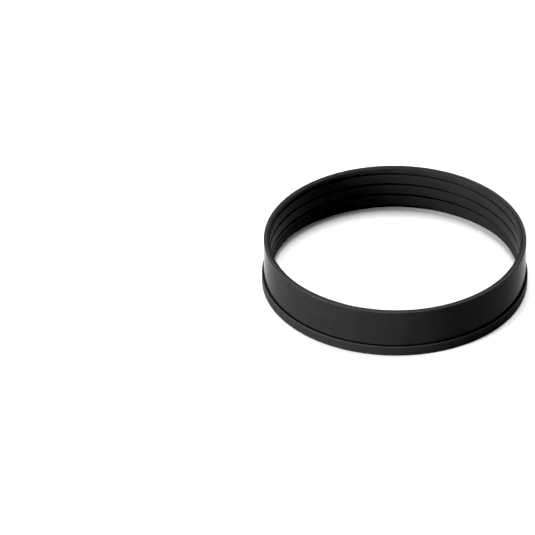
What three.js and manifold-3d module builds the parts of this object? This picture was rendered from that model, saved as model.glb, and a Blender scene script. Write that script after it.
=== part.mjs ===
// A short threaded coupling ring of 2-inch telescope size, in the class of the rings screwed on a barlow lens.
//
// It comes apart into four coaxial rings. A joining ring goes up inside a smooth outer sleeve and down inside
// the foot ring that the assembly stands on. The sleeve's lower end is stepped in, which leaves a narrow
// shadow line above the foot ring's lip all round. Above the joining ring the sleeve holds a threaded insert with a coarse right-hand groove,
// so that the plain end of the joining ring is the stop that a mating part's nose meets.
//
// Millimetres, +Z up. The origin is on the ring's axis, in the plane that the foot ring stands on.

import * as THREE from "three";
import { mergeVertices } from "three/addons/utils/BufferGeometryUtils.js";
import Module from "manifold-3d";

const wasm = await Module();
wasm.setup();

// Driving dimensions
const ringRadius = 26.0;          // outer wall of the sleeve
const ringHeight = 10.0;
const boreRadius = 24.8;          // crest of the internal thread
const sleeveThickness = 0.68;
const fitGap = 0.04;              // radial and end clearance between neighbouring rings
const rimBreak = 0.15;            // broken edge round the outside of the rim

const lipRadius = 26.42;          // outer wall of the foot ring
const lipHeight = 2.12;
const lipBreak = 0.2;
const shadowLineHeight = 0.3;     // step round the sleeve's lower end, above the lip
const shadowLineDepth = 0.2;
const recessRadius = 25.78;       // recess turned in the underside of the foot ring
const recessHeight = 1.42;

const threadPitch = 2.5;
const threadDepth = 0.28;
const grooveWidth = 0.5;          // at the crest
const grooveFloor = 0.36;         // at the root
const threadTop = 8.68;           // height of the groove's middle at +Y on its upper turn
const cutterReach = 0.3;          // how far the thread cutter stands inside the bore

const insertBottom = 3.41;
const leadIn = 0.2;               // bevel at the insert's mouth
const joiningRadius = 24.52;      // bore of the joining ring at its lower end

const segments = 80;

// Dimensions that follow
const sleeveInner = ringRadius - sleeveThickness;
const sleeveBottom = lipHeight + fitGap;
const sleeveStepTop = lipHeight + shadowLineHeight;
const innerRingRadius = sleeveInner - fitGap;
const joiningTop = insertBottom - fitGap;

const blackAnodised = (shade, roughness) =>
  new THREE.MeshStandardMaterial({
    color: new THREE.Color(shade, shade, shade * 1.03),
    roughness,
    metalness: 0.6,
  });

// A closed ring turned from a profile of [radius, height] points, listed anticlockwise.
function turnedRing(profile) {
  const outline = [...profile, profile[0]].map(([radius, height]) => new THREE.Vector2(radius, height));
  const ring = new THREE.LatheGeometry(outline, segments);
  ring.rotateX(Math.PI / 2);
  return ring;
}

function toSolid(geometry) {
  const shape = geometry.clone();
  shape.deleteAttribute("normal");
  shape.deleteAttribute("uv");
  const merged = mergeVertices(shape, 1e-4);
  return new wasm.Manifold(
    new wasm.Mesh({
      numProp: 3,
      vertProperties: new Float32Array(merged.attributes.position.array),
      triVerts: new Uint32Array(merged.index.array),
    }),
  );
}

function toGeometry(solid) {
  const mesh = solid.getMesh();
  const geometry = new THREE.BufferGeometry();
  geometry.setAttribute("position", new THREE.BufferAttribute(mesh.vertProperties, 3));
  geometry.setIndex(new THREE.BufferAttribute(mesh.triVerts, 1));
  geometry.computeVertexNormals();
  return geometry;
}

// The bar that cuts the thread: a trapezium swept down a right-hand helix, from above the insert to below it.
function threadCutter() {
  const flankSlope = (grooveWidth - grooveFloor) / 2 / threadDepth;
  const mouthHalf = grooveWidth / 2 + cutterReach * flankSlope;
  const mouthRadius = boreRadius - cutterReach;
  const rootRadius = boreRadius + threadDepth;
  const section = [
    [mouthRadius, -mouthHalf],
    [rootRadius, -grooveFloor / 2],
    [rootRadius, grooveFloor / 2],
    [mouthRadius, mouthHalf],
  ];
  const corners = section.length;
  const stepsAbove = Math.ceil(((ringHeight + mouthHalf - threadTop) / threadPitch) * segments);
  const stepsBelow = Math.ceil(((threadTop - insertBottom + mouthHalf) / threadPitch) * segments);
  const positions = [];
  const triangles = [];
  for (let step = -stepsAbove; step <= stepsBelow; step += 1) {
    // Half a step out of phase with the turned faces, so that no two corners nearly coincide.
    const turns = -(step + 0.5) / segments;
    const angle = Math.PI / 2 + turns * 2 * Math.PI;
    const middle = threadTop + turns * threadPitch;
    for (const [radius, offset] of section) {
      positions.push(radius * Math.cos(angle), radius * Math.sin(angle), middle + offset);
    }
  }
  const last = (stepsAbove + stepsBelow) * corners;
  for (let start = 0; start < last; start += corners) {
    for (let corner = 0; corner < corners; corner += 1) {
      const here = start + corner;
      const beside = start + ((corner + 1) % corners);
      triangles.push(here, beside, here + corners, beside, beside + corners, here + corners);
    }
  }
  for (let corner = 1; corner < corners - 1; corner += 1) {
    triangles.push(0, corner + 1, corner);
    triangles.push(last, last + corner, last + corner + 1);
  }
  const bar = new THREE.BufferGeometry();
  bar.setAttribute("position", new THREE.Float32BufferAttribute(positions, 3));
  bar.setIndex(triangles);
  return bar;
}

function outerSleeve() {
  return turnedRing([
    [sleeveInner, sleeveBottom],
    [ringRadius - shadowLineDepth, sleeveBottom],
    [ringRadius - shadowLineDepth, sleeveStepTop],
    [ringRadius, sleeveStepTop],
    [ringRadius, ringHeight - rimBreak],
    [ringRadius - rimBreak, ringHeight],
    [sleeveInner, ringHeight],
  ]);
}

function threadedInsert() {
  const blank = turnedRing([
    [boreRadius, insertBottom],
    [innerRingRadius, insertBottom],
    [innerRingRadius, ringHeight - fitGap],
    [boreRadius, ringHeight - fitGap - leadIn],
  ]);
  return toGeometry(toSolid(blank).subtract(toSolid(threadCutter())));
}

function joiningRing() {
  return turnedRing([
    [joiningRadius, recessHeight],
    [innerRingRadius, recessHeight],
    [innerRingRadius, joiningTop],
    [boreRadius, joiningTop],
  ]);
}

function footRing() {
  return turnedRing([
    [recessRadius, 0],
    [lipRadius - lipBreak, 0],
    [lipRadius, lipBreak],
    [lipRadius, lipHeight - lipBreak],
    [lipRadius - lipBreak, lipHeight],
    [sleeveInner, lipHeight],
    [sleeveInner, recessHeight],
    [recessRadius, recessHeight],
  ]);
}

const group = new THREE.Group();

function addPiece(name, geometry, material) {
  const mesh = new THREE.Mesh(geometry, material);
  mesh.name = name;
  group.add(mesh);
}

addPiece("outer_sleeve", outerSleeve(), blackAnodised(0.035, 0.42));
addPiece("threaded_insert", threadedInsert(), blackAnodised(0.03, 0.48));
addPiece("joining_ring", joiningRing(), blackAnodised(0.03, 0.5));
addPiece("foot_ring", footRing(), blackAnodised(0.035, 0.45));

export default group;
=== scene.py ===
"""Looks of the threaded coupling ring: four coaxial rings of black anodised aluminium, built round the
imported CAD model. Metres, +Z up, the ring's axis on Z."""

import math

import bpy
from mathutils import Matrix, Vector


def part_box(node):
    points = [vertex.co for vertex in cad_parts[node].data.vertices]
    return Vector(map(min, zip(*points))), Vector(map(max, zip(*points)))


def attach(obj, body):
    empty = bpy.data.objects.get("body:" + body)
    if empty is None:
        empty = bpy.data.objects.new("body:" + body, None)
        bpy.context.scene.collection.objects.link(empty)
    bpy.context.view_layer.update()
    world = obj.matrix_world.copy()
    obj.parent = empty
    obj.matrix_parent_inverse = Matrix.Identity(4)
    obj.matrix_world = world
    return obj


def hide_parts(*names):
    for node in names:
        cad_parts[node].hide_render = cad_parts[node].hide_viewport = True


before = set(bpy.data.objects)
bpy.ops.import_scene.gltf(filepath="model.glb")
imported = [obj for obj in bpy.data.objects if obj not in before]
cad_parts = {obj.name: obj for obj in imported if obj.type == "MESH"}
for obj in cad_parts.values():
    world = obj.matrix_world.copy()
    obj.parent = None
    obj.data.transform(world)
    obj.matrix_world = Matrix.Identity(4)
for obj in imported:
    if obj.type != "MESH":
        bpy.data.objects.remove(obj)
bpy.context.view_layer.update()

MM = 0.001

# Sizes read from the frame
sleeve_low, sleeve_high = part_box("outer_sleeve")
insert_low, insert_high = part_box("threaded_insert")
joining_low, joining_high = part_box("joining_ring")
foot_low, foot_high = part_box("foot_ring")

RING_RADIUS = sleeve_high.x
RING_HEIGHT = sleeve_high.z
SLEEVE_BOTTOM = sleeve_low.z
INNER_RING_RADIUS = insert_high.x
INSERT_TOP = insert_high.z
INSERT_BOTTOM = insert_low.z
JOINING_TOP = joining_high.z
LIP_RADIUS = foot_high.x
LIP_HEIGHT = foot_high.z
RECESS_HEIGHT = joining_low.z

# Sizes that the frame's boxes don't give, as in the CAD model
SLEEVE_THICKNESS = 0.68 * MM
SHADOW_LINE_HEIGHT = 0.3 * MM
SHADOW_LINE_DEPTH = 0.2 * MM
BORE_RADIUS = 24.8 * MM
JOINING_RADIUS = 24.52 * MM
RECESS_RADIUS = 25.78 * MM
THREAD_PITCH = 2.5 * MM
THREAD_DEPTH = 0.28 * MM
GROOVE_WIDTH = 0.5 * MM
GROOVE_FLOOR = 0.36 * MM
THREAD_TOP = 8.68 * MM
LEAD_IN = 0.2 * MM

SLEEVE_INNER = RING_RADIUS - SLEEVE_THICKNESS
SLEEVE_STEP_RADIUS = RING_RADIUS - SHADOW_LINE_DEPTH
SLEEVE_STEP_TOP = LIP_HEIGHT + SHADOW_LINE_HEIGHT

STEPS_ROUND = 480
THREAD_STEPS_ROUND = 360
THREAD_ROW = 0.04 * MM
ARC_STEPS = 6                # rows on each rounded corner
ARC_SUPPORT = 0.03 * MM      # row beside a rounding, which keeps the long faces flat-shaded up to it
CREST_WEAR_WIDTH = 0.08 * MM
CREST_WEAR = 0.4


# Meshes

def rounded_profile(corners):
    """Turns (radius, height, rounding) corners into points, each corner rounded by an arc-like curve.

    Returns (radius, height, edge) points, where edge is 1 on the rounded corners and 0 elsewhere."""
    points = []
    count = len(corners)
    for index, (radius, height, rounding) in enumerate(corners):
        here = Vector((radius, height))
        before = Vector(corners[index - 1][:2])
        after = Vector(corners[(index + 1) % count][:2])
        if rounding == 0:
            points.append((here.x, here.y, 0.0))
            continue
        inward = (before - here).normalized()
        onward = (after - here).normalized()
        start = here + inward * rounding
        end = here + onward * rounding
        lead = start + inward * ARC_SUPPORT
        tail = end + onward * ARC_SUPPORT
        points.append((lead.x, lead.y, 0.0))
        for step in range(ARC_STEPS + 1):
            t = step / ARC_STEPS
            point = start.lerp(here, t).lerp(here.lerp(end, t), t)
            points.append((point.x, point.y, math.sin(math.pi * t)))
        points.append((tail.x, tail.y, 0.0))
    return points


def mesh_object(name, vertices, faces, edge_values):
    """A smooth-shaded mesh with a float attribute: 1 on worn edges, 0 on open faces, -1 at the bottom of a
    groove, where the material paints shade.
    """
    mesh = bpy.data.meshes.new(name)
    mesh.from_pydata(vertices, [], faces)
    worn = mesh.attributes.new("wear_and_painted_groove_shade", "FLOAT", "POINT")
    worn.data.foreach_set("value", edge_values)
    mesh.shade_smooth()
    mesh.update()
    ring = bpy.data.objects.new(name, mesh)
    bpy.context.scene.collection.objects.link(ring)
    return ring


def ring_of_columns(name, columns):
    """Joins radial columns of (radius, height, edge) points, spaced evenly round the axis, into a ring."""
    rows = len(columns[0])
    count = len(columns)
    vertices = []
    edge_values = []
    faces = []
    for step, column in enumerate(columns):
        angle = 2 * math.pi * step / count
        for radius, height, edge in column:
            vertices.append((radius * math.cos(angle), radius * math.sin(angle), height))
            edge_values.append(edge)
        here = step * rows
        beside = ((step + 1) % count) * rows
        for row in range(rows):
            above = (row + 1) % rows
            faces.append((here + row, beside + row, beside + above, here + above))
    return mesh_object(name, vertices, faces, edge_values)


def turned_ring(name, corners):
    """A ring turned from a closed profile of (radius, height, rounding) corners, listed anticlockwise."""
    return ring_of_columns(name, [rounded_profile(corners)] * STEPS_ROUND)


def groove_offset(height, angle):
    """Distance from the middle of the nearest turn of the right-hand thread groove, up or down."""
    turns_from_back = angle / (2 * math.pi) - 0.25      # THREAD_TOP is at +Y, a quarter turn from +X
    middle = THREAD_TOP + THREAD_PITCH * turns_from_back
    return abs((height - middle + THREAD_PITCH / 2) % THREAD_PITCH - THREAD_PITCH / 2)


def bore_point(height, angle):
    """A (radius, height, edge) point of the insert's bore; edge falls to -1 inside the groove, which marks
    where painted shade goes.
    """
    above_bevel = max(0.0, (height - INSERT_TOP + LEAD_IN) / LEAD_IN)
    plain = BORE_RADIUS + above_bevel * LEAD_IN
    offset = groove_offset(height, angle)
    flank = (GROOVE_WIDTH - GROOVE_FLOOR) / 2
    depth = THREAD_DEPTH * min(1.0, max(0.0, (GROOVE_WIDTH / 2 - offset) / flank))
    from_crest = abs(offset - GROOVE_WIDTH / 2) / CREST_WEAR_WIDTH
    edge = max(0.0, 1 - from_crest, above_bevel)
    # The negative part, by the groove's depth, marks where the material paints shade into the groove.
    return max(plain, BORE_RADIUS + depth), height, CREST_WEAR * edge - depth / THREAD_DEPTH


def threaded_ring(name):
    """The insert: a plain outside, and a bore with a bevelled mouth and the helical groove."""
    rows = round((INSERT_TOP - INSERT_BOTTOM) / THREAD_ROW)
    heights = [INSERT_TOP + (INSERT_BOTTOM - INSERT_TOP) * row / rows for row in range(rows + 1)]
    outside = [(INNER_RING_RADIUS, INSERT_BOTTOM, 0.0), (INNER_RING_RADIUS, INSERT_TOP, 0.0)]
    columns = []
    for step in range(THREAD_STEPS_ROUND):
        angle = 2 * math.pi * step / THREAD_STEPS_ROUND
        columns.append(outside + [bore_point(height, angle) for height in heights])
    return ring_of_columns(name, columns)


# Materials

MARK_SPACING = 0.05 * MM     # turning marks, across the cut
MARK_RUN_SHARE = 0.02        # how fast the marks change round the ring, as a share of how fast across it
GRAIN_SIZE = 0.12 * MM
MOTTLE_SIZE = 2.2 * MM
WEAR_PATCH_SIZE = 1.1 * MM
ROUGHNESS_SPREAD = 0.05
RELIEF_DEPTH = 0.004 * MM
RELIEF_STRENGTH = 0.25
GRAIN_SHARE = 0.6            # grain in the relief, beside the turning marks
WORN_COLOUR = (0.09, 0.09, 0.092, 1)
WEAR_STRENGTH = 0.35
LEAST_WEAR = 0.35            # on the least worn patches of an edge, as a share of that on the most worn
DARK_MOTTLE = (0.8, 0.8, 0.83)       # red, green and blue, as shares of a piece's shade
PALE_MOTTLE = (1.25, 1.25, 1.27)
GROOVE_PAINTED_SHADE = 0.55          # painted shade: base colour at the bottom of a groove, as a share of that on open faces
FLOOR_COLOUR = (0.9, 0.9, 0.9, 1)


class Nodes:
    """Short calls for building a node tree."""

    def __init__(self, material):
        material.use_nodes = True
        self.tree = material.node_tree
        self.shader = self.tree.nodes["Principled BSDF"]

    def add(self, kind, **settings):
        node = self.tree.nodes.new(kind)
        for key, value in settings.items():
            setattr(node, key, value)
        return node

    def link(self, source, target):
        self.tree.links.new(source, target)

    def math(self, operation, first, second):
        node = self.add("ShaderNodeMath", operation=operation)
        for socket, value in zip(node.inputs, (first, second)):
            if isinstance(value, (int, float)):
                socket.default_value = value
            else:
                self.link(value, socket)
        return node.outputs[0]

    def noise(self, vector, scale, detail):
        node = self.add("ShaderNodeTexNoise")
        node.inputs["Scale"].default_value = scale
        node.inputs["Detail"].default_value = detail
        self.link(vector, node.inputs["Vector"])
        return node.outputs["Fac"]

    def blend(self, factor, first, second):
        """Mixes two colours by a 0 to 1 factor; the second one is a constant."""
        node = self.add("ShaderNodeMix", data_type="RGBA")
        self.link(factor, node.inputs["Factor"])
        self.link(first, node.inputs["A"])
        node.inputs["B"].default_value = second
        return node.outputs["Result"]

    def spread(self, value, low, high):
        """Maps a 0 to 1 value on to low to high."""
        node = self.add("ShaderNodeMapRange")
        node.inputs["To Min"].default_value = low
        node.inputs["To Max"].default_value = high
        self.link(value, node.inputs["Value"])
        return node.outputs["Result"]


def black_anodised(name, shade, roughness, specular):
    """Black anodised aluminium with fine turning marks, a faint mottle, paler worn edges and painted shade in
    the grooves.
    """
    material = bpy.data.materials.new(name)
    nodes = Nodes(material)
    shader = nodes.shader
    shader.inputs["Metallic"].default_value = 0.0
    shader.inputs["Specular IOR Level"].default_value = specular

    place = nodes.add("ShaderNodeTexCoord").outputs["Object"]
    split = nodes.add("ShaderNodeSeparateXYZ")
    nodes.link(place, split.inputs[0])
    flat = nodes.add("ShaderNodeCombineXYZ")
    nodes.link(split.outputs["X"], flat.inputs["X"])
    nodes.link(split.outputs["Y"], flat.inputs["Y"])
    radius = nodes.add("ShaderNodeVectorMath", operation="LENGTH")
    nodes.link(flat.outputs[0], radius.inputs[0])

    # Turning marks run round the ring: they change fast along the profile and slowly round it.
    along = nodes.math("ADD", radius.outputs["Value"], split.outputs["Z"])
    marks_place = nodes.add("ShaderNodeCombineXYZ")
    for axis in ("X", "Y"):
        nodes.link(nodes.math("MULTIPLY", split.outputs[axis], MARK_RUN_SHARE), marks_place.inputs[axis])
    nodes.link(along, marks_place.inputs["Z"])
    marks = nodes.noise(marks_place.outputs[0], 1 / MARK_SPACING, 2.0)
    grain = nodes.noise(place, 1 / GRAIN_SIZE, 3.0)
    mottle = nodes.noise(place, 1 / MOTTLE_SIZE, 4.0)

    edge = nodes.add("ShaderNodeAttribute", attribute_name="wear_and_painted_groove_shade").outputs["Fac"]
    patchy = nodes.spread(nodes.noise(place, 1 / WEAR_PATCH_SIZE, 3.0), LEAST_WEAR, 1.0)
    wear = nodes.math("MULTIPLY", nodes.math("MAXIMUM", edge, 0.0), patchy)
    # Painted shade: the base colour darkens with the groove's depth, standing in for the shade that falls
    # into the thread groove.
    painted_groove_shade = nodes.math("MAXIMUM", nodes.math("MULTIPLY", edge, -1.0), 0.0)

    colour = nodes.add("ShaderNodeMix", data_type="RGBA")
    colour.inputs["A"].default_value = (*(shade * share for share in DARK_MOTTLE), 1)
    colour.inputs["B"].default_value = (*(shade * share for share in PALE_MOTTLE), 1)
    nodes.link(mottle, colour.inputs["Factor"])
    painted_groove_colour = shade * GROOVE_PAINTED_SHADE
    shaded = nodes.blend(painted_groove_shade, colour.outputs["Result"], (painted_groove_colour, painted_groove_colour, painted_groove_colour, 1))
    worn = nodes.blend(nodes.math("MULTIPLY", wear, WEAR_STRENGTH), shaded, WORN_COLOUR)
    nodes.link(worn, shader.inputs["Base Color"])

    mixed = nodes.math("ADD", nodes.math("MULTIPLY", marks, 0.5), nodes.math("MULTIPLY", mottle, 0.5))
    uneven = nodes.spread(mixed, roughness - ROUGHNESS_SPREAD, roughness + ROUGHNESS_SPREAD)
    nodes.link(uneven, shader.inputs["Roughness"])

    relief = nodes.math("ADD", marks, nodes.math("MULTIPLY", grain, GRAIN_SHARE))
    bump = nodes.add("ShaderNodeBump")
    bump.inputs["Strength"].default_value = RELIEF_STRENGTH
    bump.inputs["Distance"].default_value = RELIEF_DEPTH
    nodes.link(relief, bump.inputs["Height"])
    nodes.link(bump.outputs["Normal"], shader.inputs["Normal"])
    return material


def pale_floor():
    material = bpy.data.materials.new("pale_floor")
    nodes = Nodes(material)
    nodes.shader.inputs["Base Color"].default_value = FLOOR_COLOUR
    nodes.shader.inputs["Roughness"].default_value = 0.9
    nodes.shader.inputs["Specular IOR Level"].default_value = 0.0
    return material


# Pieces

def outer_sleeve():
    return turned_ring("sleeve", [
        (SLEEVE_INNER, SLEEVE_BOTTOM, 0.05 * MM),
        (SLEEVE_STEP_RADIUS, SLEEVE_BOTTOM, 0.03 * MM),
        (SLEEVE_STEP_RADIUS, SLEEVE_STEP_TOP, 0.06 * MM),
        (RING_RADIUS, SLEEVE_STEP_TOP, 0.08 * MM),
        (RING_RADIUS, RING_HEIGHT, 0.16 * MM),
        (SLEEVE_INNER, RING_HEIGHT, 0.05 * MM),
    ])


def foot_ring():
    return turned_ring("foot", [
        (RECESS_RADIUS, 0.0, 0.05 * MM),
        (LIP_RADIUS, 0.0, 0.2 * MM),
        (LIP_RADIUS, LIP_HEIGHT, 0.2 * MM),
        (SLEEVE_INNER, LIP_HEIGHT, 0.02 * MM),
        (SLEEVE_INNER, RECESS_HEIGHT, 0.03 * MM),
        (RECESS_RADIUS, RECESS_HEIGHT, 0.03 * MM),
    ])


def joining_ring():
    return turned_ring("joining", [
        (JOINING_RADIUS, RECESS_HEIGHT, 0.06 * MM),
        (INNER_RING_RADIUS, RECESS_HEIGHT, 0.05 * MM),
        (INNER_RING_RADIUS, JOINING_TOP, 0.03 * MM),
        (BORE_RADIUS, JOINING_TOP, 0.04 * MM),
    ])


# The mesh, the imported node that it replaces, its material slot, and its shade, roughness and specular level
PIECES = [
    (outer_sleeve(), "outer_sleeve", "sleeve_anodised",
     black_anodised("sleeve_black", 0.0105, 0.16, 0.016)),
    (threaded_ring("thread"), "threaded_insert", "thread_anodised",
     black_anodised("thread_black", 0.0118, 0.32, 0.02)),
    (foot_ring(), "foot_ring", "foot_anodised",
     black_anodised("foot_black", 0.013, 0.3, 0.006)),
    (joining_ring(), "joining_ring", "joining_anodised",
     black_anodised("joining_black", 0.0135, 0.5, 0.014)),
]
for piece, node, slot, finish in PIECES:
    piece.data.materials.append(finish)
    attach(piece, "root")
    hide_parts(node)


# Stage

LIGHT_DISTANCE = 0.8
BLACK_LEVEL = 0.0095         # darker tones than this show as black


def floor(size):
    mesh = bpy.data.meshes.new("floor")
    half = size / 2
    corners = [(-half, -half, 0), (half, -half, 0), (half, half, 0), (-half, half, 0)]
    mesh.from_pydata(corners, [], [(0, 1, 2, 3)])
    ground = bpy.data.objects.new("floor", mesh)
    bpy.context.scene.collection.objects.link(ground)
    mesh.materials.append(pale_floor())


def softbox(name, azimuth, elevation, size, power):
    """A square area light that faces the ring. Azimuth 0 is behind the ring and 90 to its left."""
    light = bpy.data.lights.new(name, "AREA")
    light.shape = "SQUARE"
    light.size = size
    light.energy = power
    turn = math.radians(azimuth)
    rise = math.radians(elevation)
    direction = Vector((-math.sin(turn) * math.cos(rise), math.cos(turn) * math.cos(rise), math.sin(rise)))
    lamp = bpy.data.objects.new(name, light)
    lamp.location = direction * LIGHT_DISTANCE
    lamp.rotation_euler = (-direction).to_track_quat("-Z", "Y").to_euler()
    bpy.context.scene.collection.objects.link(lamp)


def camera():
    """A long lens about 34 degrees above the floor, aimed left of the ring so that it sits to the right."""
    distance = 0.954
    elevation = math.radians(34.366)
    yaw = math.radians(-1.516)
    pitch = math.radians(-0.125)
    roll = math.radians(0.51)
    centre = Vector((0, 0, RING_HEIGHT / 2))
    back = Vector((0, -math.cos(elevation), math.sin(elevation)))
    forward = -back
    right = Vector((1, 0, 0))
    up = right.cross(forward)
    turned = forward * math.cos(yaw) + right * math.sin(yaw)
    right = right * math.cos(yaw) - forward * math.sin(yaw)
    aim = turned * math.cos(pitch) + up * math.sin(pitch)
    up = up * math.cos(pitch) - turned * math.sin(pitch)
    side = right * math.cos(roll) + up * math.sin(roll)
    top = up * math.cos(roll) - right * math.sin(roll)
    data = bpy.data.cameras.new("camera")
    data.sensor_width = 36
    data.lens = 323.3
    data.clip_start = 0.01
    data.clip_end = 10
    eye = bpy.data.objects.new("camera", data)
    turn = Matrix((side, top, -aim)).transposed()
    eye.matrix_world = Matrix.Translation(centre + back * distance) @ turn.to_4x4()
    bpy.context.scene.collection.objects.link(eye)
    bpy.context.scene.camera = eye


def surroundings(strength):
    world = bpy.data.worlds.new("surroundings")
    bpy.context.scene.world = world
    world.use_nodes = True
    background = world.node_tree.nodes["Background"]
    background.inputs["Color"].default_value = (1, 1, 1, 1)
    background.inputs["Strength"].default_value = strength


floor(4.0)
softbox("top", azimuth=0, elevation=80, size=0.3, power=5.8)
softbox("back", azimuth=0, elevation=35, size=0.16, power=0.9)
softbox("back_right", azimuth=-50, elevation=45, size=0.5, power=2.7)
softbox("right", azimuth=-90, elevation=36, size=0.3, power=1.0)
softbox("front_left", azimuth=130, elevation=20, size=0.5, power=6.0)
softbox("low_front_left", azimuth=119, elevation=8, size=0.3, power=20.5)
surroundings(0.03)
camera()

scene = bpy.context.scene
scene.view_settings.view_transform = "Standard"
scene.view_settings.look = "None"
scene.view_settings.use_curve_mapping = True
scene.view_settings.curve_mapping.black_level = (BLACK_LEVEL,) * 3
scene.view_settings.curve_mapping.update()
